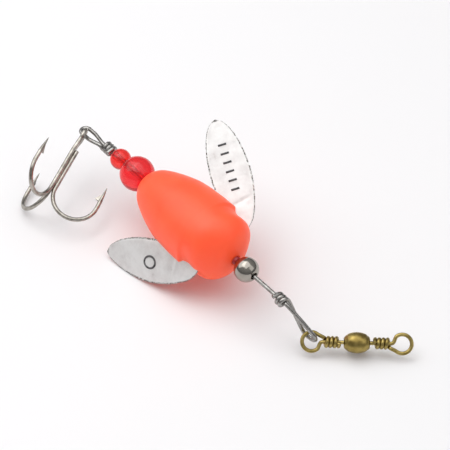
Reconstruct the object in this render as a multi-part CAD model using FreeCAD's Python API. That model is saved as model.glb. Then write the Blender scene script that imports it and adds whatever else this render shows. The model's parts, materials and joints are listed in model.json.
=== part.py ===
import FreeCAD, Part
import math, os

# Inline spinner lure, millimetres: a wire shaft with a loop at each end, carrying two red beads, a winged
# float on a liner tube and a nickel bead; a treble hook hangs on the rear loop, a swivel on the front one.
# Modelled in shaft coordinates: X runs along the shaft with the towing end at +X, Z is up, and (0, 0, 0) is
# on the shaft at the wing station. Left is -Y and right is +Y, as seen from the towing end.
# SHIFT moves every piece into the output frame: origin at the middle of the bottom of the bounding box.

os.makedirs("parts", exist_ok=True)
V = FreeCAD.Vector
SHIFT = V(-0.29, 1.0, 8.99)
ORIGIN = V(0, 0, 0)
X_AXIS = V(1, 0, 0)

# Clearances shared by several pieces
WRAP_GAP = 0.03             # air between a wire and the wire wrapped round it
BORE_R = 0.43               # bore of the red beads and of the liner tube
TUBE_R = 0.75               # liner tube outside radius, also the bore of the float


# ---------------------------------------------------------------- vectors and point lists
def unit(vector):
    result = V(vector)
    result.normalize()
    return result


def square_to(vector, axis):
    """Unit vector along the part of vector that is square to the unit axis."""
    return unit(vector - axis*vector.dot(axis))


def reflect(vector, normal):
    return vector - normal*(2/normal.dot(normal)*normal.dot(vector))


def hermite(start, start_pull, end, end_pull, steps):
    """Points on a cubic from start to end with the given end derivatives."""
    points = []
    for i in range(steps + 1):
        s = i/steps
        points.append(start*(2*s**3 - 3*s**2 + 1) + start_pull*(s**3 - 2*s**2 + s)
                      + end*(-2*s**3 + 3*s**2) + end_pull*(s**3 - s**2))
    return points


def arc(centre, cos_arm, sin_arm, start_deg, end_deg, steps):
    """Points centre + cos_arm*cos(a) + sin_arm*sin(a) for a from start_deg to end_deg."""
    points = []
    for i in range(steps + 1):
        a = math.radians(start_deg + (end_deg - start_deg)*i/steps)
        points.append(centre + cos_arm*math.cos(a) + sin_arm*math.sin(a))
    return points


def wraps(place, start, radius, pitch, start_deg, turns, steps, tag):
    """Helix about the first axis of place(along, across, up), then its straight tag end.

    tag lists (distance along the tangent, extra offset on the third axis).
    """
    points = []
    for i in range(steps + 1):
        a = math.radians(start_deg + 360.0*turns*i/steps)
        along = start + pitch*turns*i/steps
        points.append(place(along, radius*math.cos(a), radius*math.sin(a)))
    for length, lift in tag:
        points.append(place(along, radius*math.cos(a) - length*math.sin(a),
                            radius*math.sin(a) + length*math.cos(a) + lift))
    return points


def chain(*lists):
    """Join point lists, dropping repeated points."""
    joined = []
    for points in lists:
        for point in points:
            if not joined or (point - joined[-1]).Length > 1e-6:
                joined.append(point)
    return joined


# ---------------------------------------------------------------- edges and solids
def spline(points, start_tangent=None, end_tangent=None):
    """Interpolated edge; once one end tangent is given, the other follows the end chord."""
    curve = Part.BSplineCurve()
    if start_tangent is None and end_tangent is None:
        curve.interpolate(Points=points)
    else:
        curve.interpolate(Points=points,
                          InitialTangent=start_tangent or unit(points[1] - points[0]),
                          FinalTangent=end_tangent or unit(points[-1] - points[-2]))
    return curve.toShape()


def lines(points):
    return [Part.makeLine(a, b) for a, b in zip(points, points[1:])]


def profile(pairs):
    """(x, radius) pairs as points in the XY plane."""
    return [V(x, radius, 0) for x, radius in pairs]


def revolve(edges):
    """Closed profile revolved about X."""
    return Part.Face(Part.Wire(edges)).revolve(ORIGIN, X_AXIS, 360).Solids[0]


def largest(shape):
    return sorted(shape.Solids, key=lambda solid: -solid.Volume)[0]


def bar(points, radius_at, start_tangent=None, end_tangent=None, spacing=0.42):
    """Round wire: circles carried along the path without twist and lofted.

    radius_at(from_start, from_end) gives the radius from the distances to the two ends.
    """
    path = spline(points, start_tangent, end_tangent)
    count = max(4, int(round(path.Length/spacing))) + 1
    stations = path.discretize(Number=count)

    tangents = [unit(start_tangent or path.tangentAt(path.FirstParameter))]
    for i in range(1, count - 1):
        before = stations[i] - stations[i-1]
        after = stations[i+1] - stations[i]
        tangents.append(unit(before*(after.Length/before.Length)
                             + after*(before.Length/after.Length)))
    tangents.append(unit(end_tangent or path.tangentAt(path.LastParameter)))

    across = square_to(V(0, 0, 1) if abs(tangents[0].z) < 0.9 else X_AXIS, tangents[0])
    rings = []
    for i, (station, tangent) in enumerate(zip(stations, tangents)):
        if i:
            # double reflection: once over the step, once to line up with the new tangent
            step = station - stations[i-1]
            across = reflect(across, step)
            correction = tangent - reflect(tangents[i-1], step)
            if correction.dot(correction) > 1e-12:
                across = reflect(across, correction)
            across = square_to(across, tangent)
        other = tangent.cross(across)
        from_start = path.Length*i/(count - 1)
        ring = Part.makeCircle(radius_at(from_start, path.Length - from_start))
        ring.Placement = FreeCAD.Placement(FreeCAD.Matrix(
            across.x, other.x, tangent.x, station.x,
            across.y, other.y, tangent.y, station.y,
            across.z, other.z, tangent.z, station.z,
            0, 0, 0, 1))
        rings.append(Part.Wire([ring]))
    return Part.makeLoft(rings, True, True).Solids[0]


def save(solid, name):
    moved = solid.copy()
    moved.translate(SHIFT)
    assert moved.isValid(), name
    moved.exportStep("parts/%s.step" % name)


# ---------------------------------------------------------------- swivel frame
SWIVEL_WIRE_R = 0.32
SWIVEL_EYE_R = 1.53         # eye centreline radius
SWIVEL_EYE_REACH = 7.30     # eye centre from barrel centre
LURE_EYE = V(24.46, 1.87, -6.40)                    # centre of the lure-side eye
SWIVEL_AXIS = unit(V(9.65, 11.0, 0.0))              # lure eye towards line eye
SWIVEL_UP = square_to(V(-0.5487, 0.4460, 0.7071), SWIVEL_AXIS)
BARREL_CENTRE = LURE_EYE + SWIVEL_AXIS*SWIVEL_EYE_REACH

# ---------------------------------------------------------------- shaft wire
WIRE_R = 0.35
WRAP_R = 2*WIRE_R + WRAP_GAP
WRAP_PITCH = 2*WIRE_R + 0.04

REAR_LOOP = V(-32.42, -0.40, 0.0)   # centre of the end arc: the hook turns about this point
REAR_LOOP_R = 0.82
REAR_WRAP_X = -27.50                # rear wraps start here and run towards the beads
REAR_JOIN = V(-27.9, 0, 0)          # rear end of the straight shaft

# centre of the front end arc: the swivel turns about this point
FRONT_LOOP = LURE_EYE + SWIVEL_UP*SWIVEL_EYE_R + V(-0.0328, -0.4888, -0.2828)
FRONT_LOOP_R = 1.30
FRONT_JOIN = V(20.0, 0.0, 0.0)      # front end of the straight shaft
FRONT_WRAP_X = 19.75                # front wraps start here and run back towards the nickel bead
FRONT_OUT = unit(FRONT_LOOP - V(20.3, 0.0, -0.3))   # from the wraps to the loop end
FRONT_TILT = 50.0                   # turn of the loop about FRONT_OUT, degrees
FRONT_SIDE = FreeCAD.Rotation(FRONT_OUT, FRONT_TILT).multVec(
    square_to(V(-0.462, -0.730, -0.505), FRONT_OUT))   # across the loop


def rear_points():
    """Tag end -> rear wraps -> left strand -> end arc -> right strand -> shaft axis."""
    helix = wraps(V, start=REAR_WRAP_X, radius=WRAP_R, pitch=WRAP_PITCH, start_deg=180.0,
                  turns=2.80, steps=56, tag=[(0.45, 0.02), (0.95, 0.05)])
    left = REAR_LOOP + V(0, -REAR_LOOP_R, 0)
    right = REAR_LOOP + V(0, REAR_LOOP_R, 0)
    left_strand = hermite(left + V(1.7, 0, 0), V(2.6, 0, 0),
                          helix[0], unit(helix[1] - helix[0])*2.2, 18)
    right_strand = hermite(right + V(1.4, 0, 0), V(2.4, 0, 0), REAR_JOIN, V(2.4, 0, 0), 8)
    end_arc = arc(REAR_LOOP, V(0, -REAR_LOOP_R, 0), V(-REAR_LOOP_R, 0, 0), 0, 180, 12)
    return chain(reversed(helix), reversed(left_strand),
                 [left + V(1.10, 0, 0), left + V(0.55, 0, 0)], end_arc,
                 [right + V(0.7, 0, 0)], right_strand)


def front_points():
    """Shaft axis -> outgoing strand -> end arc -> returning strand -> front wraps -> tag end."""
    end_arc = arc(FRONT_LOOP, FRONT_SIDE*(-FRONT_LOOP_R), FRONT_OUT*FRONT_LOOP_R, 0, 180, 12)
    helix = wraps(V, start=FRONT_WRAP_X, radius=WRAP_R, pitch=-WRAP_PITCH, start_deg=30.0,
                  turns=2.15, steps=44, tag=[(0.5, 0), (1.15, 0)])
    outgoing = hermite(FRONT_JOIN, V(3.4, 0, 0), end_arc[0], FRONT_OUT*5.6, 14)
    returning = hermite(end_arc[-1], FRONT_OUT*(-4.6),
                        helix[0], unit(helix[1] - helix[0])*2.2, 20)
    return chain(outgoing, end_arc, returning, helix)


def shaft_wire():
    def radius_at(from_start, from_end):
        return WIRE_R

    straight = Part.makeCylinder(WIRE_R, FRONT_JOIN.x - REAR_JOIN.x, REAR_JOIN, X_AXIS)
    rear = bar(rear_points(), radius_at, end_tangent=X_AXIS)
    front = bar(front_points(), radius_at, start_tangent=X_AXIS)
    return largest(straight.fuse(rear).fuse(front))


# ---------------------------------------------------------------- liner tube and beads
TUBE_REAR_X, TUBE_FRONT_X = -15.66, 8.02
NICKEL_X = 10.16
NICKEL_R = 2.10
NICKEL_HOLE_R = 0.62
NICKEL_WALL = 0.32


def bore_tube():
    corners = profile([(TUBE_REAR_X, BORE_R), (TUBE_FRONT_X, BORE_R),
                       (TUBE_FRONT_X, TUBE_R), (TUBE_REAR_X, TUBE_R)])
    return revolve(lines(corners + corners[:1]))


def red_bead(centre_x, radius, half_length):
    """Bored ball with flats square to the shaft."""
    ball = Part.makeSphere(radius, V(centre_x, 0, 0))
    ball = ball.common(Part.makeBox(2*half_length, 4*radius, 4*radius,
                                    V(centre_x - half_length, -2*radius, -2*radius)))
    bore = Part.makeCylinder(BORE_R, 4*radius, V(centre_x - 2*radius, 0, 0), X_AXIS)
    return largest(ball.cut(bore))


def nickel_bead():
    """Hollow ball with a hole at each end."""
    centre = V(NICKEL_X, 0, 0)
    shell = Part.makeSphere(NICKEL_R, centre).cut(Part.makeSphere(NICKEL_R - NICKEL_WALL, centre))
    return largest(shell.cut(Part.makeCylinder(NICKEL_HOLE_R, 8, V(NICKEL_X - 4, 0, 0), X_AXIS)))


# ---------------------------------------------------------------- wings
WING_THICKNESS = 0.45
WING_CUP_R = 17.0           # radius the sheet is cupped to
SLOT_GAP = 0.04             # extra thickness of the slot a wing root sits in
SLOT_WIDTH_RATIO = 1.01     # slot width over wing width

# leaf outline: (distance along the span, half chord)
LEAF = [(-2.6, 0.0), (-1.2, 1.35), (0.6, 2.20), (3.4, 2.98), (6.6, 3.38),
        (9.4, 3.30), (12.2, 2.74), (14.8, 1.78), (16.6, 0.74), (17.2, 0.0)]

# root point, span direction, chord direction, width scale
WING_RIGHT = (V(2.0, 6.0, 2.4), V(-15.0, 5.9, 8.0), V(0.46, 0.855, 0.24), 1.0)
WING_LEFT = (V(2.0, -6.0, -2.4), V(-14.7, -4.05, -5.2), V(0.40, -0.42, -0.81), 1.08)


def wing(root, span, chord, width, thickness=WING_THICKNESS):
    """Leaf-shaped sheet, cupped about an axis along the span."""
    span = unit(span)
    chord = square_to(chord, span)
    normal = chord.cross(span)

    def place(along, across, height):
        return root + span*along + chord*(across*width) + normal*height

    edge = spline([place(s, c, -3.0) for s, c in LEAF])
    opposite_edge = spline([place(s, -c, -3.0) for s, c in reversed(LEAF)])
    block = Part.Face(Part.Wire([edge, opposite_edge])).extrude(normal*6.0)
    base = place(-8.0, 0.0, WING_CUP_R)
    outer = Part.makeCylinder(WING_CUP_R + thickness/2, 34.0, base, span)
    inner = Part.makeCylinder(WING_CUP_R - thickness/2, 34.0, base, span)
    return largest(block.common(outer.cut(inner)))


def wing_slot(root, span, chord, width):
    return wing(root, span, chord, width*SLOT_WIDTH_RATIO, WING_THICKNESS + SLOT_GAP)


# ---------------------------------------------------------------- float
# float outline: (x, radius)
FLOAT_PROFILE = [
    (-15.70, 1.25), (-15.55, 2.05), (-15.10, 2.78), (-14.0, 3.70), (-12.0, 4.62),
    (-9.5, 5.48), (-7.0, 6.10), (-4.0, 6.42), (-1.0, 6.54), (1.6, 6.50),
    (3.6, 6.16), (5.2, 5.30), (6.4, 3.80), (7.15, 2.20), (7.45, 1.15)]
SPLIT_X = 0.30              # plane between the rear half and the nose half
SPLIT_GAP = 0.02
SPIGOT_R, SPIGOT_L = 3.40, 3.0
SOCKET_SIDE_GAP, SOCKET_END_GAP = 0.03, 0.05
HALF_BOX = 40.0             # side of the boxes that part the two halves
SCOOP_ANGLES = (205.0, 25.0)        # about X from +Y towards +Z, near the wing roots
FACET_LAG = 50.0            # degrees from a scoop back to its facet


def around_shaft(degrees):
    """Unit vector square to the shaft."""
    return V(0, math.cos(math.radians(degrees)), math.sin(math.radians(degrees)))


def float_egg():
    outline = profile(FLOAT_PROFILE)
    rear, front = outline[0], outline[-1]
    return revolve([spline(outline)]
                   + lines([front, V(front.x, TUBE_R, 0), V(rear.x, TUBE_R, 0), rear]))


def cut_slots(half):
    return largest(half.cut(wing_slot(*WING_LEFT)).cut(wing_slot(*WING_RIGHT)))


def float_rear(egg):
    socket_length = SPIGOT_L + SOCKET_END_GAP
    socket = Part.makeCylinder(SPIGOT_R + SOCKET_SIDE_GAP, socket_length,
                               V(SPLIT_X - SPIGOT_L - SOCKET_END_GAP, 0, 0), X_AXIS)
    half = egg.common(Part.makeBox(HALF_BOX, HALF_BOX, HALF_BOX,
                                   V(SPLIT_X - HALF_BOX, -HALF_BOX/2, -HALF_BOX/2)))
    return cut_slots(half.cut(socket))


def float_nose(egg):
    spigot = Part.makeCylinder(SPIGOT_R, SPIGOT_L, V(SPLIT_X - SPIGOT_L, 0, 0), X_AXIS)
    half = egg.common(Part.makeBox(HALF_BOX, HALF_BOX, HALF_BOX,
                                   V(SPLIT_X + SPLIT_GAP, -HALF_BOX/2, -HALF_BOX/2)))
    bore = Part.makeCylinder(TUBE_R, 40, V(-20, 0, 0), X_AXIS)
    half = half.fuse(spigot.cut(bore)).removeSplitter()
    for angle in SCOOP_ANGLES:
        # shallow groove, deepest at the scoop angle and fading out a quarter turn away
        groove_centre = V(2.3, 0, 0) - around_shaft(angle)*0.75
        half = half.cut(Part.makeTorus(9.65, 3.6, groove_centre, X_AXIS))
        # dished facet on the front
        facet_centre = V(14.2, 0, 0) + around_shaft(angle - FACET_LAG)*11.4
        half = half.cut(Part.makeSphere(12.0, facet_centre))
    return cut_slots(half)


# ---------------------------------------------------------------- treble hook
HOOK_WIRE_R = 0.37
HOOK_EYE_R = 1.20           # eye centreline radius
HOOK_EYE = V(-31.87, -1.43, -0.083)                 # eye centre
HOOK_DOWN = unit(V(0.4058, -0.8821, -0.2392))       # from the eye along the shanks
HOOK_OUT = [square_to(direction, HOOK_DOWN) for direction in (
    V(-0.0962, -0.3015, 0.9486), V(0.8352, 0.4641, -0.2948), V(-0.7390, -0.1627, -0.6538))]
HOOK_EYE_SIDE = unit(HOOK_OUT[0] - HOOK_OUT[2])     # across the eye ring, in its plane
SHANK_OFFSET = 0.455        # shank centreline from the hook axis
SHANK_L = 11.15             # eye centre to the start of the bend
BEND_R = 3.86
TIP_L = 4.45                # end of the bend to the point
NEEDLE_L = 3.0              # length over which the wire is drawn down to the point


def hook_leg(out):
    """From the shank at the end of the eye down and round to the point."""
    shank = [HOOK_EYE + HOOK_DOWN*t + out*SHANK_OFFSET
             for t in (3.2, 4.6, 6.0, 7.5, 9.0, SHANK_L - 1.0, SHANK_L)]
    bend_centre = HOOK_EYE + HOOK_DOWN*SHANK_L + out*(SHANK_OFFSET + BEND_R)
    bend = arc(bend_centre, out*(-BEND_R), HOOK_DOWN*BEND_R, 0, 180, 16)
    tip = [HOOK_EYE + HOOK_DOWN*(SHANK_L - TIP_L*t)
           + out*(SHANK_OFFSET + 2*BEND_R - 0.15*t*t) for t in (0.25, 0.5, 0.75, 1.0)]
    return chain(shank, bend, tip)


def needle_radius(from_point):
    if from_point < NEEDLE_L:
        return HOOK_WIRE_R*(0.10 + 0.90*(max(0.0, from_point)/NEEDLE_L)**0.75)
    return HOOK_WIRE_R


def hook_double():
    """Two legs and the eye ring between them, one wire pointed at both ends."""
    def radius_at(from_start, from_end):
        return min(needle_radius(from_start), needle_radius(from_end))

    first, last = hook_leg(HOOK_OUT[0]), hook_leg(HOOK_OUT[2])
    eye = arc(HOOK_EYE, HOOK_DOWN*(-HOOK_EYE_R), HOOK_EYE_SIDE*(-HOOK_EYE_R), -128.0, 128.0, 18)
    into_eye = hermite(first[0], HOOK_DOWN*(-1.1), eye[0], unit(eye[1] - eye[0])*1.3, 5)
    out_of_eye = hermite(eye[-1], unit(eye[-1] - eye[-2])*1.3, last[0], HOOK_DOWN*1.1, 5)
    return bar(chain(reversed(first), into_eye, eye, out_of_eye, last), radius_at)


def hook_single():
    def radius_at(from_start, from_end):
        return needle_radius(from_end)

    return bar(hook_leg(HOOK_OUT[1]), radius_at)


def hook_braze():
    """Triangular fillet of braze between the three shanks."""
    corners = []
    for k in range(3):
        between = unit(HOOK_OUT[k] + HOOK_OUT[(k + 1) % 3])
        corners.append(HOOK_EYE + HOOK_DOWN*4.4 + between*0.50)
    braze = Part.Face(Part.makePolygon(corners + corners[:1])).extrude(HOOK_DOWN*6.3)
    for out in HOOK_OUT:
        shank_start = HOOK_EYE + HOOK_DOWN*3.0 + out*SHANK_OFFSET
        braze = braze.cut(Part.makeCylinder(HOOK_WIRE_R + 0.004, 12, shank_start, HOOK_DOWN))
    return largest(braze)


# ---------------------------------------------------------------- swivel
BARREL_HOLE_R = SWIVEL_WIRE_R + 0.05
# barrel outer and inner surfaces: (distance along the swivel axis, radius)
BARREL_OUTER = [(-2.12, 0.72), (-1.95, 1.02), (-1.45, 1.40), (-0.80, 1.64), (0.0, 1.72),
                (0.80, 1.64), (1.45, 1.40), (1.95, 1.02), (2.12, 0.72)]
BARREL_INNER = [(1.74, 0.40), (1.70, 0.72), (1.30, 1.02), (0.70, 1.22), (0.0, 1.30),
                (-0.70, 1.22), (-1.30, 1.02), (-1.70, 0.72), (-1.74, 0.40)]
HEAD_R = 0.60               # upset head that holds the stem inside the barrel


def swivel_barrel():
    outer, inner = profile(BARREL_OUTER), profile(BARREL_INNER)

    def end_wall(start, end):
        return lines([start, V(start.x, BARREL_HOLE_R, 0), V(end.x, BARREL_HOLE_R, 0), end])

    barrel = revolve([spline(outer)] + end_wall(outer[-1], inner[0])
                     + [spline(inner)] + end_wall(inner[-1], outer[0]))
    barrel.Placement = FreeCAD.Placement(BARREL_CENTRE, FreeCAD.Rotation(X_AXIS, SWIVEL_AXIS))
    return barrel


def stem_radius(from_start, from_end):
    """Flared head, then a short taper down to the wire."""
    if from_start < 0.25:
        return 0.34 + 0.26*from_start/0.25
    if from_start < 0.90:
        return HEAD_R
    if from_start < 1.15:
        return HEAD_R - (HEAD_R - SWIVEL_WIRE_R)*(from_start - 0.90)/0.25
    return SWIVEL_WIRE_R


def swivel_eye(sign):
    """Head -> stem -> neck -> eye -> wraps -> tag end; sign +1 line eye, -1 lure eye."""
    axis = SWIVEL_AXIS*sign
    up = SWIVEL_UP*sign
    side = axis.cross(up)

    def place(along, rise, across=0.0):
        return BARREL_CENTRE + axis*along + up*rise + side*across

    stem = [place(0.40 + 0.45*k, 0) for k in range(10)]
    stem += [place(5.35 + 0.15*k, 0.32*(k/5.0)**2) for k in range(4)]
    eye = arc(place(SWIVEL_EYE_REACH, 0), axis*SWIVEL_EYE_R, up*SWIVEL_EYE_R, 128.0, -128.0, 20)
    wrap_r = 2*SWIVEL_WIRE_R + WRAP_GAP
    helix = wraps(place, start=5.28, radius=wrap_r, pitch=-wrap_r, start_deg=180.0,
                  turns=3.6, steps=64, tag=[(0.35, 0), (0.75, 0)])
    neck = hermite(stem[-1], unit(stem[-1] - stem[-2])*0.7, eye[0], unit(eye[1] - eye[0])*0.7, 4)
    join = hermite(eye[-1], unit(eye[-1] - eye[-2])*0.9, helix[0], unit(helix[1] - helix[0]), 5)
    return bar(chain(stem, neck, eye, join, helix), stem_radius, start_tangent=axis, spacing=0.36)


# ---------------------------------------------------------------- pieces
save(shaft_wire(), "shaft_wire")
save(bore_tube(), "bore_tube")
save(red_bead(centre_x=-23.20, radius=1.80, half_length=1.70), "bead_small_red")
save(red_bead(centre_x=-18.63, radius=3.00, half_length=2.82), "bead_large_red")
save(nickel_bead(), "bead_nickel")
save(wing(*WING_RIGHT), "wing_right")
save(wing(*WING_LEFT), "wing_left")
egg = float_egg()
save(float_rear(egg), "float_rear")
save(float_nose(egg), "float_nose")
save(hook_double(), "hook_double")
save(hook_single(), "hook_single")
save(hook_braze(), "hook_braze")
save(swivel_barrel(), "swivel_barrel")
save(swivel_eye(-1), "swivel_eye_lure")
save(swivel_eye(1), "swivel_eye_line")
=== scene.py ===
# A winged float lure on a wire shaft. The shaft runs along X: the treble hook hangs at the -X end,
# the swivel sits at the +X end, and one wing reaches to +Y, the other to -Y. Z is up.
# Sizes are in mm, measured from an origin on the shaft axis; to_frame() turns them into metres.
import json
import math

import bpy
import bmesh
from mathutils import Matrix, Quaternion, Vector, noise

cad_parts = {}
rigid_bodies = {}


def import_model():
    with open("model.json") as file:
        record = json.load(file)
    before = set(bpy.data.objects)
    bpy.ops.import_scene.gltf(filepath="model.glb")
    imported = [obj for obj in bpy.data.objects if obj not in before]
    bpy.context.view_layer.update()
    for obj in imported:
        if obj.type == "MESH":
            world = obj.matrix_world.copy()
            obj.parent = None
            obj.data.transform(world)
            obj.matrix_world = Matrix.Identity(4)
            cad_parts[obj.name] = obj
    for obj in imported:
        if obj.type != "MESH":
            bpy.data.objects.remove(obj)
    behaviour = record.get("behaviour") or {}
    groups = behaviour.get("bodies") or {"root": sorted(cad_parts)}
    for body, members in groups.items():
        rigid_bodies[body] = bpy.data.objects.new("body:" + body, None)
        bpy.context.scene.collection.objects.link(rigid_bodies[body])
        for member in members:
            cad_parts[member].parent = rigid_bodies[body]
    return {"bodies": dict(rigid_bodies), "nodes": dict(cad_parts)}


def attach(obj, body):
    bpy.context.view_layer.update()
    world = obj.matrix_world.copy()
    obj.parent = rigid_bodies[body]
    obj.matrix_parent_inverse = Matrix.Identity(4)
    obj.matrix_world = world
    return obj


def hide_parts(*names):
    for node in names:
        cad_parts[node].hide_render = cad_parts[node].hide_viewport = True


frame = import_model()
kept = set(frame["nodes"].values()) | set(frame["bodies"].values())
for spare in [o for o in bpy.data.objects if o not in kept]:
    bpy.data.objects.remove(spare)
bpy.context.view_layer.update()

MM = 0.001
SHAFT_ORIGIN = Vector((-0.29, 1.0, 8.99))    # shaft origin in the frame, mm


def vec(x, y, z):
    return Vector((x, y, z))


def to_frame(point):
    return (point + SHAFT_ORIGIN)*MM


# ------------------------------------------------------------------ shader helpers
def new_material(name):
    material = bpy.data.materials.new(name)
    material.use_nodes = True
    tree = material.node_tree
    tree.nodes.clear()
    output = tree.nodes.new("ShaderNodeOutputMaterial")
    bsdf = tree.nodes.new("ShaderNodeBsdfPrincipled")
    tree.links.new(bsdf.outputs[0], output.inputs[0])
    return material, tree, bsdf


def set_inputs(node, values):
    for key, value in values.items():
        node.inputs[key].default_value = value


def texture(tree, kind, scale):
    coords = tree.nodes.new("ShaderNodeTexCoord")
    mapping = tree.nodes.new("ShaderNodeMapping")
    tree.links.new(coords.outputs["Object"], mapping.inputs[0])
    node = tree.nodes.new(kind)
    node.inputs["Scale"].default_value = scale
    tree.links.new(mapping.outputs[0], node.inputs["Vector"])
    return node


def noise_texture(tree, scale, detail=4.0, roughness=0.55):
    node = texture(tree, "ShaderNodeTexNoise", scale)
    set_inputs(node, {"Detail": detail, "Roughness": roughness})
    return node.outputs["Fac"]


def cell_texture(tree, scale):
    return texture(tree, "ShaderNodeTexVoronoi", scale).outputs["Distance"]


def ramp(tree, factor, stops, target):
    """Colour target from factor; stops are (position, (r, g, b))."""
    node = tree.nodes.new("ShaderNodeValToRGB")
    elements = node.color_ramp.elements
    while len(elements) < len(stops):
        elements.new(0.5)
    for element, (position, colour) in zip(elements, stops):
        element.position = position
        element.color = (*colour, 1.0)
    tree.links.new(factor, node.inputs[0])
    tree.links.new(node.outputs[0], target)


def vary_roughness(tree, bsdf, factor, low, high):
    node = tree.nodes.new("ShaderNodeMapRange")
    set_inputs(node, {"To Min": low, "To Max": high})
    tree.links.new(factor, node.inputs[0])
    tree.links.new(node.outputs[0], bsdf.inputs["Roughness"])


def add_bump(tree, bsdf, height, strength, distance):
    node = tree.nodes.new("ShaderNodeBump")
    set_inputs(node, {"Strength": strength, "Distance": distance})
    tree.links.new(height, node.inputs["Height"])
    tree.links.new(node.outputs[0], bsdf.inputs["Normal"])


# ------------------------------------------------------------------ materials
def grained(name, stops, mottle, grain, roughness, bump_strength, bump_distance, inputs):
    """Mottled colour under a finer grain that drives roughness and bump."""
    material, tree, bsdf = new_material(name)
    ramp(tree, noise_texture(tree, **mottle), stops, bsdf.inputs["Base Color"])
    fine = noise_texture(tree, **grain)
    vary_roughness(tree, bsdf, fine, *roughness)
    add_bump(tree, bsdf, fine, bump_strength, bump_distance)
    set_inputs(bsdf, inputs)
    return material


def metal(name, dark, light, roughness, scale=900.0, bump_strength=0.15):
    return grained(name, [(0.30, dark), (0.72, light)],
                   mottle=dict(scale=scale, detail=5.0, roughness=0.6),
                   grain=dict(scale=scale*2.3),
                   roughness=(roughness*0.7, roughness*1.35),
                   bump_strength=bump_strength, bump_distance=0.00004,
                   inputs={"Metallic": 1.0})


def fluorescent_orange_painted_glow():
    return grained("fluorescent_orange_painted_glow",
                   [(0.25, (1.0, 0.085, 0.026)), (0.75, (1.0, 0.118, 0.040))],
                   mottle=dict(scale=160.0, detail=3.0), grain=dict(scale=1400.0, detail=3.0),
                   roughness=(0.42, 0.55), bump_strength=0.06, bump_distance=0.00005,
                   inputs={"Subsurface Weight": 0.55,
                           "Subsurface Radius": (1.0, 0.25, 0.12),
                           "Subsurface Scale": 0.0022,
                           # Emission paints a glow onto the orange, standing in for the brightness
                           # of the plastic's fluorescence.
                           "Emission Color": (1.0, 0.075, 0.012, 1),
                           "Emission Strength": 0.22,
                           "Coat Weight": 0.15,
                           "Coat Roughness": 0.3})


def red_plastic(name, colour, transmission, roughness):
    red, green, blue = colour
    return grained(name, [(0.3, (red*0.86, green*0.7, blue*0.8)), (0.7, colour)],
                   mottle=dict(scale=260.0), grain=dict(scale=900.0),
                   roughness=(roughness*0.7, roughness*1.3),
                   bump_strength=0.05, bump_distance=0.00004,
                   inputs={"Transmission Weight": transmission,
                           "IOR": 1.49,
                           "Subsurface Weight": 0.08,
                           "Subsurface Radius": (1.0, 0.1, 0.1),
                           "Subsurface Scale": 0.001,
                           # Emission paints a faint red glow onto the plastic.
                           "Emission Color": (1.0, 0.02, 0.03, 1),
                           "Emission Strength": 0.05})


def wing_film():
    material, tree, bsdf = new_material("wing_film")
    clouds = noise_texture(tree, scale=420.0, detail=6.0, roughness=0.65)
    cells = cell_texture(tree, scale=330.0)
    crinkle = tree.nodes.new("ShaderNodeMath")
    crinkle.operation = "MULTIPLY"
    tree.links.new(clouds, crinkle.inputs[0])
    tree.links.new(cells, crinkle.inputs[1])
    stops = [(0.22, (0.46, 0.42, 0.40)), (0.36, (0.66, 0.64, 0.63)), (0.60, (0.76, 0.75, 0.74))]
    ramp(tree, clouds, stops, bsdf.inputs["Base Color"])
    set_inputs(bsdf, {"Metallic": 0.25})
    vary_roughness(tree, bsdf, clouds, low=0.28, high=0.46)
    add_bump(tree, bsdf, crinkle.outputs[0], strength=0.35, distance=0.00015)
    return material


def wing_edge_glitter():
    material, tree, bsdf = new_material("wing_edge_glitter")
    cells = cell_texture(tree, scale=3600.0)
    stops = [(0.10, (0.05, 0.045, 0.04)), (0.45, (0.30, 0.29, 0.27)), (0.8, (0.75, 0.75, 0.74))]
    ramp(tree, cells, stops, bsdf.inputs["Base Color"])
    set_inputs(bsdf, {"Metallic": 0.8})
    vary_roughness(tree, bsdf, cells, low=0.15, high=0.45)
    add_bump(tree, bsdf, cells, strength=0.9, distance=0.0002)
    return material


def printed_ink():
    material, tree, bsdf = new_material("printed_ink")
    wear = noise_texture(tree, scale=1300.0, detail=5.0, roughness=0.7)
    stops = [(0.42, (0.035, 0.033, 0.035)), (0.66, (0.16, 0.155, 0.16))]
    ramp(tree, wear, stops, bsdf.inputs["Base Color"])
    vary_roughness(tree, bsdf, wear, low=0.4, high=0.6)
    return material


STEEL = metal("stainless_wire", dark=(0.20, 0.19, 0.18), light=(0.48, 0.47, 0.45), roughness=0.26)
TINNED = metal("hook_tinned", dark=(0.24, 0.22, 0.19), light=(0.55, 0.52, 0.47), roughness=0.24)
BRAZE = metal("braze", dark=(0.40, 0.36, 0.30), light=(0.66, 0.63, 0.56), roughness=0.38)
NICKEL = metal("nickel", dark=(0.27, 0.25, 0.22), light=(0.42, 0.39, 0.35), roughness=0.14,
               scale=300.0, bump_strength=0.05)
BRASS = metal("antique_brass", dark=(0.13, 0.085, 0.02), light=(0.52, 0.40, 0.13), roughness=0.34,
              scale=520.0, bump_strength=0.30)
BRASS_WIRE = metal("antique_brass_wire", dark=(0.17, 0.12, 0.03), light=(0.60, 0.47, 0.17),
                   roughness=0.30, scale=700.0, bump_strength=0.2)
ORANGE = fluorescent_orange_painted_glow()
RED_LARGE = red_plastic("red_bead_large", (0.92, 0.03, 0.035), transmission=0.88, roughness=0.16)
RED_SMALL = red_plastic("red_bead_small", (0.95, 0.04, 0.03), transmission=0.88, roughness=0.14)
RED_TUBE = red_plastic("liner_tube", (0.35, 0.02, 0.02), transmission=0.15, roughness=0.35)
FILM = wing_film()
GLITTER = wing_edge_glitter()
INK = printed_ink()


# ------------------------------------------------------------------ curve helpers
def square_to(vector, axis):
    """Unit vector of the part of vector at right angles to axis."""
    return (vector - axis*vector.dot(axis)).normalized()


def heading(start, end):
    return (end - start).normalized()


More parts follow.
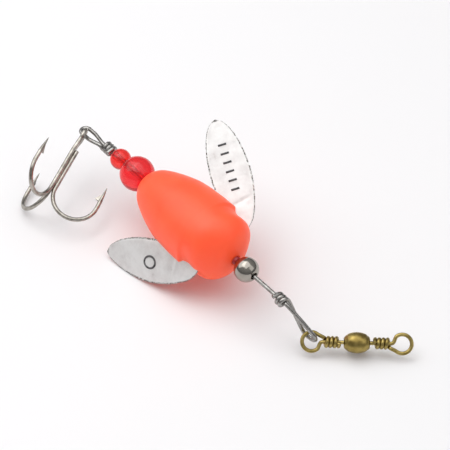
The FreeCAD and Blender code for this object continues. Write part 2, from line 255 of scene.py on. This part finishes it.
def even_curve(points, step):
    """Even samples of a Catmull-Rom curve through points, and its length."""
    padded = [points[0]*2 - points[1], *points, points[-1]*2 - points[-2]]
    dense = []
    for p0, p1, p2, p3 in zip(padded, padded[1:], padded[2:], padded[3:]):
        for k in range(8):
            t = k/8.0
            dense.append(0.5*((2*p1) + (p2 - p0)*t + (2*p0 - 5*p1 + 4*p2 - p3)*t*t
                              + (3*p1 - p0 - 3*p2 + p3)*t**3))
    dense.append(points[-1])
    travelled = [0.0]
    for a, b in zip(dense, dense[1:]):
        travelled.append(travelled[-1] + (b - a).length)
    total = travelled[-1]
    count = int(total/step)
    samples, j = [], 0
    for i in range(count + 1):
        at = total*i/count
        while j < len(travelled) - 2 and travelled[j+1] < at:
            j += 1
        f = (at - travelled[j])/max(1e-9, travelled[j+1] - travelled[j])
        samples.append(dense[j].lerp(dense[j+1], min(1.0, max(0.0, f))))
    return samples, total


def smooth_outline(pairs, step):
    samples, _ = even_curve([vec(x, y, 0) for x, y in pairs], step)
    return [(p.x, p.y) for p in samples]


def interpolate(table, x):
    """Value at x in a table of (x, value); past the end, the last value."""
    for (x0, y0), (x1, y1) in zip(table, table[1:]):
        if x0 <= x <= x1:
            return y0 + (y1 - y0)*((x - x0)/(x1 - x0))
    return table[-1][1]


def hermite(p0, t0, p1, t1, steps):
    points = []
    for i in range(steps + 1):
        s = i/steps
        points.append(p0*(2*s**3 - 3*s**2 + 1) + t0*(s**3 - 2*s**2 + s)
                      + p1*(-2*s**3 + 3*s**2) + t1*(s**3 - s**2))
    return points


def chain(*runs):
    """Join runs of points, dropping repeats."""
    joined = []
    for run in runs:
        for p in run:
            if not joined or (p - joined[-1]).length > 1e-6:
                joined.append(p)
    return joined


def coil(place, start, pitch, radius, turns, start_deg, steps):
    """Helix points through place(along, v, w), and the angle of the last one."""
    points = []
    for i in range(steps + 1):
        angle = math.radians(start_deg + 360.0*turns*i/steps)
        points.append(place(start + pitch*turns*i/steps,
                            radius*math.cos(angle), radius*math.sin(angle)))
    return points, angle


def half_loop(centre, side, outward, radius):
    """Half circle from -side to +side, bulging outward."""
    return [centre - side*(radius*math.cos(math.pi*i/12)) + outward*(radius*math.sin(math.pi*i/12))
            for i in range(13)]


def smoothstep(t):
    t = min(1.0, max(0.0, t))
    return t*t*(3 - 2*t)


def bell(x, centre, width):
    return math.exp(-((x - centre)/width)**2)


# ------------------------------------------------------------------ mesh helpers
def build(name, points, faces, materials, face_slots=None, smooth=True):
    mesh = bpy.data.meshes.new(name)
    mesh.from_pydata([tuple(to_frame(p)) for p in points], [], faces)
    for material in materials:
        mesh.materials.append(material)
    if face_slots:
        mesh.polygons.foreach_set("material_index", face_slots)
    mesh.polygons.foreach_set("use_smooth", [smooth]*len(mesh.polygons))
    mesh.update()
    bm = bmesh.new()
    bm.from_mesh(mesh)
    bmesh.ops.recalc_face_normals(bm, faces=bm.faces)
    bm.to_mesh(mesh)
    bm.free()
    made = bpy.data.objects.new(name, mesh)
    bpy.context.scene.collection.objects.link(made)
    return made


def tube(name, points, radius, material, step=0.12, sides=20):
    """Round wire along points; radius is a number or a function (distance along, total)."""
    path, total = even_curve(points, step)
    n = len(path)
    tangents = [heading(path[max(0, i-1)], path[min(n-1, i+1)]) for i in range(n)]
    across = tangents[0].orthogonal().normalized()
    verts, faces = [], []
    for i, tangent in enumerate(tangents):
        if i:
            across = tangents[i-1].rotation_difference(tangent) @ across
            across = square_to(across, tangent)
        other = tangent.cross(across)
        r = radius(total*i/(n-1), total) if callable(radius) else radius
        for k in range(sides):
            a = 2*math.pi*k/sides
            verts.append(path[i] + across*(r*math.cos(a)) + other*(r*math.sin(a)))
    for i in range(n - 1):
        for k in range(sides):
            k2 = (k + 1) % sides
            faces.append((i*sides + k, i*sides + k2, (i+1)*sides + k2, (i+1)*sides + k))
    faces.append(tuple(range(sides))[::-1])
    faces.append(tuple(range((n-1)*sides, n*sides)))
    return build(name, verts, faces, [material])


def lathe(name, profile, material, sides, base=None, axis=None, radius_at=None):
    """Closed (x, radius) profile turned about X, or about axis through base.

    radius_at(x, angle, radius) may change the radius; angle runs from +Y towards +Z.
    """
    verts, faces = [], []
    turn = Vector((1, 0, 0)).rotation_difference(axis) if axis else None
    n = len(profile)
    for j in range(sides):
        a = 2*math.pi*j/sides
        for x, r in profile:
            if radius_at:
                r = radius_at(x, a, r)
            p = vec(x, r*math.cos(a), r*math.sin(a))
            verts.append(turn @ p + base if turn else p)
    for j in range(sides):
        j2 = (j + 1) % sides
        for i in range(n):
            i2 = (i + 1) % n
            faces.append((j*n + i, j*n + i2, j2*n + i2, j2*n + i))
    return build(name, verts, faces, [material])


def register(made, body, slot, *nodes):
    """Attach a piece to its moving body and hide the CAD nodes it replaces; slot is not used."""
    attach(made, body)
    if nodes:
        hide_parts(*nodes)


# ------------------------------------------------------------------ swivel placing
LURE_EYE = vec(24.46, 1.87, -6.40)            # centre of the eye the shaft hooks into
SWIVEL_AXIS = vec(9.65, 11.0, 0.0).normalized()
SWIVEL_UP = square_to(vec(-0.5487, 0.4460, 0.7071), SWIVEL_AXIS)
SWIVEL_WIRE_R = 0.32
SWIVEL_EYE_R = 1.53
SWIVEL_EYE_OFFSET = 7.30                      # barrel centre to eye centre
BARREL = LURE_EYE + SWIVEL_AXIS*SWIVEL_EYE_OFFSET

# ------------------------------------------------------------------ shaft wire
X_AXIS, Y_AXIS = vec(1, 0, 0), vec(0, 1, 0)
WIRE_R = 0.35
WRAP_R = 2*WIRE_R + 0.03                      # centreline of the wraps round the shaft
WRAP_PITCH = 2*WIRE_R + 0.04
REAR_LOOP, REAR_LOOP_R = vec(-32.42, -0.40, 0.0), 0.82
REAR_COIL_X, REAR_LEG_X = -27.50, -27.9
FRONT_LOOP = LURE_EYE + SWIVEL_UP*SWIVEL_EYE_R + vec(-0.0328, -0.4888, -0.2828)
FRONT_LOOP_R = 1.30
FRONT_OUT = heading(vec(20.3, 0.0, -0.3), FRONT_LOOP)
FRONT_SIDE = (Quaternion(FRONT_OUT, math.radians(50.0))
              @ square_to(vec(-0.462, -0.730, -0.505), FRONT_OUT))
FRONT_COIL_X, FRONT_LEG_X = 19.75, 20.0


def rear_wire():
    """Coil tail, coil, loop and the leg that becomes the straight shaft."""
    wraps, angle = coil(vec, REAR_COIL_X, WRAP_PITCH, WRAP_R, turns=2.80, start_deg=180.0, steps=56)
    tangent = vec(0.0, -math.sin(angle), math.cos(angle))
    tail = [wraps[-1] + tangent*0.45 + vec(0, 0, 0.02), wraps[-1] + tangent*0.95 + vec(0, 0, 0.05)]
    minus_y = REAR_LOOP - Y_AXIS*REAR_LOOP_R
    plus_y = REAR_LOOP + Y_AXIS*REAR_LOOP_R
    coil_leg = hermite(minus_y + X_AXIS*1.7, X_AXIS*2.6,
                       wraps[0], heading(wraps[0], wraps[1])*2.2, 18)
    straight = [minus_y + X_AXIS*(0.55*k) for k in (2, 1)]
    shaft_leg = hermite(plus_y + X_AXIS*1.4, X_AXIS*2.4, X_AXIS*REAR_LEG_X, X_AXIS*2.4, 8)
    return chain(tail[::-1], wraps[::-1], coil_leg[-2::-1], straight,
                 half_loop(REAR_LOOP, Y_AXIS, -X_AXIS, REAR_LOOP_R),
                 [plus_y + X_AXIS*0.7], shaft_leg)


def front_wire():
    """Leg from the shaft, loop through the swivel eye, coil and coil tail."""
    wraps, angle = coil(vec, FRONT_COIL_X, -WRAP_PITCH, WRAP_R, turns=2.15, start_deg=30.0, steps=44)
    tangent = vec(0.0, -math.sin(angle), math.cos(angle))
    tail = [wraps[-1] + tangent*0.5, wraps[-1] + tangent*1.15]
    shaft_leg = hermite(X_AXIS*FRONT_LEG_X, X_AXIS*3.4,
                        FRONT_LOOP - FRONT_SIDE*FRONT_LOOP_R, FRONT_OUT*5.6, 14)
    coil_leg = hermite(FRONT_LOOP + FRONT_SIDE*FRONT_LOOP_R, FRONT_OUT*(-4.6),
                       wraps[0], heading(wraps[0], wraps[1])*2.2, 20)
    loop = half_loop(FRONT_LOOP, FRONT_SIDE, FRONT_OUT, FRONT_LOOP_R)
    return chain(shaft_leg, loop, coil_leg, wraps, tail)


def make_shaft():
    rear, front = rear_wire(), front_wire()
    x0, x1 = rear[-1].x, front[0].x
    line = [vec(x0 + (x1 - x0)*i/60.0, 0, 0) for i in range(61)]
    register(tube("shaft_wire_v", chain(rear, line, front), WIRE_R, STEEL),
             "shaft", "stainless", "shaft_wire")


make_shaft()

# ------------------------------------------------------------------ treble hook
HOOK_EYE = vec(-31.87, -1.43, -0.083)
HOOK_DIR = vec(0.4058, -0.8821, -0.2392).normalized()      # from the eye to the bends
BEND_DIRS = [square_to(vec(*direction), HOOK_DIR) for direction in (
    (-0.0962, -0.3015, 0.9486), (0.8352, 0.4641, -0.2948), (-0.7390, -0.1627, -0.6538))]
HOOK_WIRE_R = 0.37
SHANK_L = 11.15
SHANK_OFFSET = 0.455                          # each shank from the hook's axis
BEND_R = 3.86
POINT_LEG_L = 4.45                            # end of the bend back to the tip
TAPER_L = 3.0
HOOK_EYE_R = 1.20


def hook_leg(bend_dir):
    points = [HOOK_EYE + HOOK_DIR*t + bend_dir*SHANK_OFFSET
              for t in (3.2, 4.6, 6.0, 7.5, 9.0, SHANK_L - 1.0, SHANK_L)]
    for i in range(1, 17):
        a = math.pi*i/16
        points.append(HOOK_EYE + HOOK_DIR*(SHANK_L + BEND_R*math.sin(a))
                      + bend_dir*(SHANK_OFFSET + BEND_R - BEND_R*math.cos(a)))
    for t in (0.25, 0.5, 0.75, 1.0):
        points.append(HOOK_EYE + HOOK_DIR*(SHANK_L - POINT_LEG_L*t)
                      + bend_dir*(SHANK_OFFSET + 2*BEND_R - 0.15*t*t))
    return points


def double_hook(first, last):
    """Two legs in one wire, joined by the open eye."""
    eye_side = (BEND_DIRS[0] - BEND_DIRS[2]).normalized()
    eye = []
    for i in range(19):
        a = math.radians(-128.0 + 256.0*i/18)
        eye.append(HOOK_EYE - HOOK_DIR*(HOOK_EYE_R*math.cos(a))
                   - eye_side*(HOOK_EYE_R*math.sin(a)))
    entry = hermite(first[0], HOOK_DIR*(-1.1), eye[0], heading(eye[0], eye[1])*1.3, 5)
    leave = hermite(eye[-1], heading(eye[-2], eye[-1])*1.3, last[0], HOOK_DIR*1.1, 5)
    return chain(first[::-1], entry, eye, leave, last)


def point_radius(to_tip):
    """Wire radius at a distance from the tip, drawn down to a point."""
    return HOOK_WIRE_R*(0.08 + 0.92*min(1.0, max(0.0, to_tip)/TAPER_L)**0.75)


def barb(name, tip, bend_dir):
    """Thin raised sliver on the shank side of the point."""
    root = tip + HOOK_DIR*2.9 - bend_dir*(HOOK_WIRE_R*0.55)
    toe = tip + HOOK_DIR*1.4 - bend_dir*(HOOK_WIRE_R*0.35)
    peak = tip + HOOK_DIR*2.75 - bend_dir*(HOOK_WIRE_R + 0.62)
    notch = tip + HOOK_DIR*2.55 - bend_dir*(HOOK_WIRE_R + 0.10)
    half = HOOK_DIR.cross(bend_dir)*0.13
    verts = [root - half, toe - half, peak - half*0.2, notch - half,
             root + half, toe + half, peak + half*0.2, notch + half]
    faces = [(0, 1, 2), (0, 2, 3), (4, 6, 5), (4, 7, 6),
             (0, 4, 5, 1), (1, 5, 6, 2), (2, 6, 7, 3), (3, 7, 4, 0)]
    return build(name, verts, faces, [TINNED], smooth=False)


def make_hook():
    legs = [hook_leg(bend_dir) for bend_dir in BEND_DIRS]
    register(tube("hook_double_v", double_hook(legs[0], legs[2]),
                  lambda at, total: point_radius(min(at, total - at)), TINNED),
             "hook", "hook_tin", "hook_double")
    register(tube("hook_single_v", legs[1], lambda at, total: point_radius(total - at), TINNED),
             "hook", "hook_tin", "hook_single")
    for k, (leg, bend_dir) in enumerate(zip(legs, BEND_DIRS)):
        register(barb("hook_barb_%d" % k, leg[-1], bend_dir), "hook", "hook_tin")
    braze_slots = frame["nodes"]["hook_braze"].data.materials
    braze_slots.clear()
    braze_slots.append(BRAZE)


make_hook()

# ------------------------------------------------------------------ beads and liner
BORE_R = 0.43
BEAD_LIP = 0.10                               # chamfer at the bore rims
NICKEL_X, NICKEL_R, NICKEL_BORE_R, NICKEL_WALL = 10.16, 2.10, 0.62, 0.32
# Liner section: x, radius
LINER = [(-15.66, BORE_R), (-15.66, 0.75), (7.96, 0.75), (8.02, 0.70), (8.02, 0.46), (7.98, BORE_R)]


def bead_profile(centre, r, half):
    """Solid bead: outer arc from the +X bore rim to the -X one, then back along the bore."""
    a0 = math.acos(half/r)
    points = [(centre + half, BORE_R + BEAD_LIP)]
    for i in range(37):
        a = a0 + (math.pi - 2*a0)*i/36
        points.append((centre + r*math.cos(a), r*math.sin(a)))
    points.append((centre - half, BORE_R + BEAD_LIP))
    for k in range(9):
        points.append((centre - half + BEAD_LIP*0.8 + (2*half - 1.6*BEAD_LIP)*k/8.0, BORE_R))
    return points


def hollow_bead_profile():
    """Thin-walled bead with rolled bore rims."""
    outer_a = math.asin((NICKEL_BORE_R + 0.06)/NICKEL_R)
    inner_r = NICKEL_R - NICKEL_WALL
    inner_a = math.asin(NICKEL_BORE_R/inner_r)
    points = []
    for i in range(41):
        a = outer_a + (math.pi - 2*outer_a)*i/40
        points.append((NICKEL_X + NICKEL_R*math.cos(a), NICKEL_R*math.sin(a)))
    points.append((NICKEL_X - NICKEL_R*math.cos(outer_a) + 0.07, NICKEL_BORE_R))
    for i in range(25):
        a = math.pi - inner_a - (math.pi - 2*inner_a)*i/24
        points.append((NICKEL_X + inner_r*math.cos(a), inner_r*math.sin(a)))
    points.append((NICKEL_X + NICKEL_R*math.cos(outer_a) - 0.07, NICKEL_BORE_R))
    return points


register(lathe("bead_small_v", bead_profile(centre=-23.20, r=1.80, half=1.70), RED_SMALL, 80),
         "small_bead", "red_bead", "bead_small_red")
register(lathe("bead_large_v", bead_profile(centre=-18.63, r=3.00, half=2.82), RED_LARGE, 112),
         "large_bead", "red_bead", "bead_large_red")
register(lathe("bead_nickel_v", hollow_bead_profile(), NICKEL, 96),
         "front_bead", "nickel", "bead_nickel")
register(lathe("liner_v", LINER, RED_TUBE, 48), "stack", "red_tube", "bore_tube")

# ------------------------------------------------------------------ float
# Outer outline: x, radius
FLOAT_OUTLINE = [
    (-15.70, 1.25), (-15.55, 2.05), (-15.10, 2.78), (-14.0, 3.70), (-12.0, 4.62),
    (-9.5, 5.48), (-7.0, 6.10), (-4.0, 6.42), (-1.0, 6.54), (1.6, 6.50),
    (3.6, 6.16), (5.2, 5.30), (6.4, 3.80), (7.15, 2.20), (7.45, 1.15)]
SEAM_X = 0.31                                 # where the rear part meets the nose
SOCKET_R, PLUG_R, FLOAT_BORE_R = 3.45, 3.40, 0.78
WING_ROOT_DEGS = (205.0, 25.0)


def nose_radius(x, angle, r):
    """Cut a groove at each wing root and a dish on the +X face, 58 degrees before each root."""
    if x < SEAM_X or (r < PLUG_R + 0.01 and x < 3.0):
        return r
    depth = 0.0
    for degrees in WING_ROOT_DEGS:
        groove = max(0.0, math.cos(angle - math.radians(degrees)))**2.86
        depth += 0.78*groove*bell(x, 1.9, 1.9)*smoothstep((x - SEAM_X)/0.9 + 0.25)
        dish = max(0.0, math.cos(angle - math.radians(degrees - 58.0)))**3
        depth += 0.75*dish*bell(x, 5.6, 1.7)
    return max(0.8, r - depth*min(1.0, r/4.0))


def make_float():
    outline = smooth_outline(FLOAT_OUTLINE, 0.10)
    rear = [p for p in outline if p[0] < SEAM_X - 0.14]
    seam_r = rear[-1][1]
    rear += [(SEAM_X - 0.03, seam_r), (SEAM_X, seam_r - 0.004), (SEAM_X - 0.02, SOCKET_R),
             (-2.6, SOCKET_R), (-2.6, FLOAT_BORE_R), (-15.66, FLOAT_BORE_R)]
    nose = [(SEAM_X, seam_r - 0.004), (SEAM_X + 0.03, seam_r)]
    nose += [p for p in outline if p[0] > SEAM_X + 0.16]
    nose += [(7.45, FLOAT_BORE_R), (-2.5, FLOAT_BORE_R), (-2.5, PLUG_R), (SEAM_X + 0.01, PLUG_R)]
    register(lathe("float_rear_v", rear, ORANGE, 144), "float", "orange", "float_rear")
    register(lathe("float_nose_v", nose, ORANGE, 160, radius_at=nose_radius),
             "float", "orange", "float_nose")


make_float()

# ------------------------------------------------------------------ wings
# Leaf outlines: distance along the span, half width
LEAF = [(-2.6, 0.0), (-1.2, 1.35), (0.6, 2.20), (3.4, 2.98), (6.6, 3.38), (9.4, 3.30),
        (12.2, 2.92), (14.8, 2.14), (16.5, 1.10), (17.2, 0.0)]
SLIM_LEAF = LEAF[:6] + [(12.2, 2.74), (14.8, 1.78), (16.6, 0.74), (17.2, 0.0)]
FULL_EDGE, SLIM_EDGE = smooth_outline(LEAF, 0.18), smooth_outline(SLIM_LEAF, 0.18)
CUP_R = 17.0                                  # radius of the curve across the chord
SHEET_HALF = 0.1845                           # half the sheet's thickness
SPAN_START, SPAN_END = -2.55, 17.15
INK_HEIGHTS = (0.16, 0.245)                   # underside and top of the ink, from mid-sheet
INK_WIDTH = 0.34


class Wing:
    """A cupped sheet; plus_edge outlines its +chord half, printed_side is +1 on the normal side."""

    def __init__(self, root, span, chord, width_scale, plus_edge, printed_side):
        self.root = root
        self.span = span.normalized()
        self.chord = square_to(chord, self.span)
        self.normal = self.span.cross(self.chord)*-1.0
        self.width_scale = width_scale
        self.plus_edge = plus_edge
        self.printed_side = printed_side

    def at(self, s, c, height):
        """Point at span s and chord c, height above the middle surface."""
        lift = CUP_R - math.sqrt(max(0.0, CUP_R*CUP_R - c*c))
        return self.root + self.span*s + self.chord*c + self.normal*(lift + height)

    def surface(self, s, u, height, seed):
        """As at(), with u from -1 to 1 across the leaf, a ragged edge, waves and a root crease."""
        half = interpolate(self.plus_edge if u > 0 else FULL_EDGE, s)*self.width_scale
        if half > 0.3:
            half += (0.05*noise.noise(vec(s*3.1, u*0.5 + seed, 1.7))
                     + 0.035*noise.noise(vec(s*11.0, seed, u)))
        c = max(0.0, half)*u
        wave = (0.045*noise.noise(vec(s*0.55, c*0.6, seed))
                + 0.02*noise.noise(vec(s*2.0, c*2.0, seed + 5)))
        crease = 0.10*bell(s, 2.2 + 0.25*c, 0.35)*smoothstep((3.0 - abs(c))/2.0)
        return self.at(s, c, height + wave - crease)


def make_wing(name, wing, seed):
    ns, nc = 110, 26
    verts, faces, slots = [], [], []
    for side in (1, -1):
        for i in range(ns + 1):
            s = SPAN_START + (SPAN_END - SPAN_START)*i/ns
            for j in range(nc + 1):
                u = math.sin(math.pi/2*(-1 + 2.0*j/nc))
                thickness = SHEET_HALF*(0.75 if abs(u) > 0.93 else 1.0)
                verts.append(wing.surface(s, u, side*thickness, seed))

    def index(i, j, layer):
        return layer*(ns + 1)*(nc + 1) + i*(nc + 1) + j

    for i in range(ns):
        for j in range(nc):
            glitter = 1 if j < 3 or j > nc - 4 or i > ns - 3 else 0
            faces.append((index(i, j, 0), index(i, j+1, 0), index(i+1, j+1, 0), index(i+1, j, 0)))
            faces.append((index(i, j, 1), index(i+1, j, 1), index(i+1, j+1, 1), index(i, j+1, 1)))
            slots += [glitter, glitter]
        for j in (0, nc):
            faces.append((index(i, j, 0), index(i+1, j, 0), index(i+1, j, 1), index(i, j, 1)))
            slots.append(1)
    for i in (0, ns):
        for j in range(nc):
            faces.append((index(i, j, 0), index(i, j+1, 0), index(i, j+1, 1), index(i, j, 1)))
            slots.append(1)
    return build(name, verts, faces, [FILM, GLITTER], slots)


def stroke(name, wing, points, closed=False):
    """Flat printed line through (span, chord) points, following the sheet."""
    verts, faces = [], []
    n = len(points)
    for i, (s, c) in enumerate(points):
        before = points[(i - 1) % n if closed else max(0, i - 1)]
        after = points[(i + 1) % n if closed else min(n - 1, i + 1)]
        ds, dc = after[0] - before[0], after[1] - before[1]
        length = math.hypot(ds, dc)
        off_s, off_c = -dc/length*INK_WIDTH/2, ds/length*INK_WIDTH/2
        for sign in (1, -1):
            for height in INK_HEIGHTS:
                verts.append(wing.at(s + off_s*sign, c + off_c*sign, wing.printed_side*height))
    for i in range(n if closed else n - 1):
        a, b = 4*i, 4*((i + 1) % n)
        faces += [(a + 1, a + 3, b + 3, b + 1), (a, b, b + 2, a + 2),
                  (a, a + 1, b + 1, b), (a + 2, b + 2, b + 3, a + 3)]
    if not closed:
        end = 4*(n - 1)
        faces += [(0, 2, 3, 1), (end, end + 1, end + 3, end + 2)]
    register(build(name, verts, faces, [INK]), "float", "wing_film")


PLUS_Y_WING = Wing(root=vec(2.0, 6.0, 2.4), span=vec(-15.0, 5.9, 8.0),
                   chord=vec(0.46, 0.855, 0.24), width_scale=1.0,
                   plus_edge=FULL_EDGE, printed_side=1.0)
MINUS_Y_WING = Wing(root=vec(2.0, -6.0, -2.4), span=vec(-14.7, -4.05, -5.2),
                    chord=vec(0.40, -0.42, -0.81), width_scale=1.08,
                    plus_edge=SLIM_EDGE, printed_side=-1.0)
register(make_wing("wing_right_v", PLUS_Y_WING, 3.0), "float", "wing_film", "wing_right")
register(make_wing("wing_left_v", MINUS_Y_WING, 9.0), "float", "wing_film", "wing_left")

# A ring on the -Y wing and a row of equal ticks on the +Y wing
ring = [(7.7 + 1.15*math.cos(2*math.pi*i/36), 0.25 + 1.0*math.sin(2*math.pi*i/36))
        for i in range(36)]
stroke("printed_ring", MINUS_Y_WING, ring, closed=True)
for i in range(6):
    tick_s = 12.6 - 1.6*i
    stroke("tick_%d" % i, PLUS_Y_WING, [(tick_s, -0.7), (tick_s, 0.0), (tick_s, 0.7)])

# ------------------------------------------------------------------ swivel
# Eye wire: distance from its end inside the barrel, radius (a head, then plain wire)
STEM_RADII = [(0.0, 0.34), (0.25, 0.60), (0.90, 0.60), (1.15, SWIVEL_WIRE_R)]
# Halves of the barrel's section: x from its centre, radius
BARREL_OUTER = [(-2.12, 0.66), (-2.08, 0.78), (-1.95, 1.00), (-1.72, 1.17),
                (-1.66, 1.22), (-1.40, 1.42), (-0.80, 1.63), (-0.2, 1.71)]
BARREL_INNER = [(2.12, 0.37), (1.74, 0.37), (1.70, 0.72), (1.30, 1.02), (0.70, 1.22)]


def mirrored(pairs):
    return [(-x, r) for x, r in reversed(pairs)]


def swivel_eye(sign):
    """Stem, eye and wraps; sign -1 is the lure end, +1 the line end."""
    axis, up = SWIVEL_AXIS*sign, SWIVEL_UP*sign
    side = axis.cross(up)

    def place(u, v, w=0.0):
        return BARREL + axis*u + up*v + side*w

    stem = [place(0.40 + 0.45*k, 0) for k in range(10)]
    stem += [place(5.35 + 0.15*k, 0.32*(k/5.0)**2) for k in range(4)]
    eye = []
    for i in range(21):
        a = math.radians(128.0 - 256.0*i/20)
        eye.append(place(SWIVEL_EYE_OFFSET + SWIVEL_EYE_R*math.cos(a), SWIVEL_EYE_R*math.sin(a)))
    spacing = 2*SWIVEL_WIRE_R + 0.03
    wraps, angle = coil(place, 5.28, -spacing, spacing, turns=3.6, start_deg=180.0, steps=64)
    tangent = up*(-math.sin(angle)) + side*math.cos(angle)
    tail = [wraps[-1] + tangent*0.35, wraps[-1] + tangent*0.75]
    neck = hermite(stem[-1], heading(stem[-2], stem[-1])*0.7, eye[0], heading(eye[0], eye[1])*0.7, 4)
    join = hermite(eye[-1], heading(eye[-2], eye[-1])*0.9, wraps[0], heading(wraps[0], wraps[1]), 5)
    return chain(stem, neck, eye, join, wraps, tail)


for end, sign in (("eye_lure", -1), ("eye_line", 1)):
    register(tube("swivel_%s_v" % end, swivel_eye(sign), lambda at, _: interpolate(STEM_RADII, at),
                  BRASS_WIRE, step=0.10), end, "brass_wire", "swivel_" + end)
barrel_profile = (smooth_outline(BARREL_OUTER + mirrored(BARREL_OUTER), 0.07)
                  + BARREL_INNER + [(0, 1.30)] + mirrored(BARREL_INNER))
register(lathe("swivel_barrel_v", barrel_profile, BRASS, 96, base=BARREL, axis=SWIVEL_AXIS),
         "barrel", "brass", "swivel_barrel")


# ------------------------------------------------------------------ floor, camera, lights, world
def make_floor(half=3, z=-0.00002):
    """Square floor; half side and height in metres."""
    material, tree, bsdf = new_material("studio_floor")
    ramp(tree, noise_texture(tree, scale=6.0, detail=2.0),
         [(0.2, (0.86, 0.852, 0.86)), (0.8, (0.89, 0.882, 0.89))], bsdf.inputs["Base Color"])
    set_inputs(bsdf, {"Roughness": 0.65, "Specular IOR Level": 0.15})
    mesh = bpy.data.meshes.new("floor")
    mesh.from_pydata([(-half, -half, z), (half, -half, z), (half, half, z), (-half, half, z)],
                     [], [(0, 1, 2, 3)])
    mesh.materials.append(material)
    floor = bpy.data.objects.new("floor", mesh)
    bpy.context.scene.collection.objects.link(floor)


make_floor()

ELEVATION, AZIMUTH = math.radians(45.0), math.radians(50.9)
CAMERA_DISTANCE = 450.0
CAMERA_RIGHT, CAMERA_UP = 2.95082, 1.63934    # sideways shifts of the camera, mm
BACK = vec(math.sin(AZIMUTH)*math.cos(ELEVATION), -math.cos(AZIMUTH)*math.cos(ELEVATION),
           math.sin(ELEVATION))               # from the lure to the camera
RIGHT = vec(math.cos(AZIMUTH), math.sin(AZIMUTH), 0)
UP = BACK.cross(RIGHT)


def make_camera():
    camera = bpy.data.cameras.new("cam")
    camera.sensor_width = 36.0
    camera.lens = 219.6
    camera.clip_start, camera.clip_end = 0.01, 10.0
    holder = bpy.data.objects.new("cam", camera)
    bpy.context.scene.collection.objects.link(holder)
    place = to_frame(BACK*CAMERA_DISTANCE + RIGHT*CAMERA_RIGHT + UP*CAMERA_UP)
    turn = Matrix((RIGHT, UP, BACK)).transposed().to_4x4()
    holder.matrix_world = Matrix.Translation(place) @ turn
    bpy.context.scene.camera = holder


def area_light(name, offset, size, power):
    """Square light at offset (m) from the point it aims at."""
    target = Vector((0, 0, 0.005))
    light = bpy.data.lights.new(name, "AREA")
    light.shape = "RECTANGLE"
    light.size = light.size_y = size
    light.energy = power
    holder = bpy.data.objects.new(name, light)
    bpy.context.scene.collection.objects.link(holder)
    place = target + offset
    turn = heading(place, target).to_track_quat("-Z", "Y").to_matrix().to_4x4()
    holder.matrix_world = Matrix.Translation(place) @ turn


def make_world():
    """Grey sky, lighter towards +Z."""
    world = bpy.data.worlds.new("studio")
    bpy.context.scene.world = world
    world.use_nodes = True
    tree = world.node_tree
    background = tree.nodes["Background"]
    coords = tree.nodes.new("ShaderNodeTexCoord")
    split = tree.nodes.new("ShaderNodeSeparateXYZ")
    tree.links.new(coords.outputs["Generated"], split.inputs[0])
    stops = [(0.0, (0.30, 0.30, 0.31)), (0.35, (0.55, 0.55, 0.56)), (1.0, (1.0, 1.0, 1.0))]
    ramp(tree, split.outputs[2], stops, background.inputs[0])
    set_inputs(background, {"Strength": 0.58})


make_camera()
area_light("key", UP*0.30 - RIGHT*0.22 + BACK*0.16, size=0.45, power=0.85)
area_light("fill", RIGHT*0.40 + BACK*0.25 + vec(0, 0, 0.15), size=0.35, power=0.30)
area_light("top", vec(0, 0, 0.45), size=0.5, power=0.95)
make_world()
bpy.context.scene.view_settings.view_transform = "Standard"
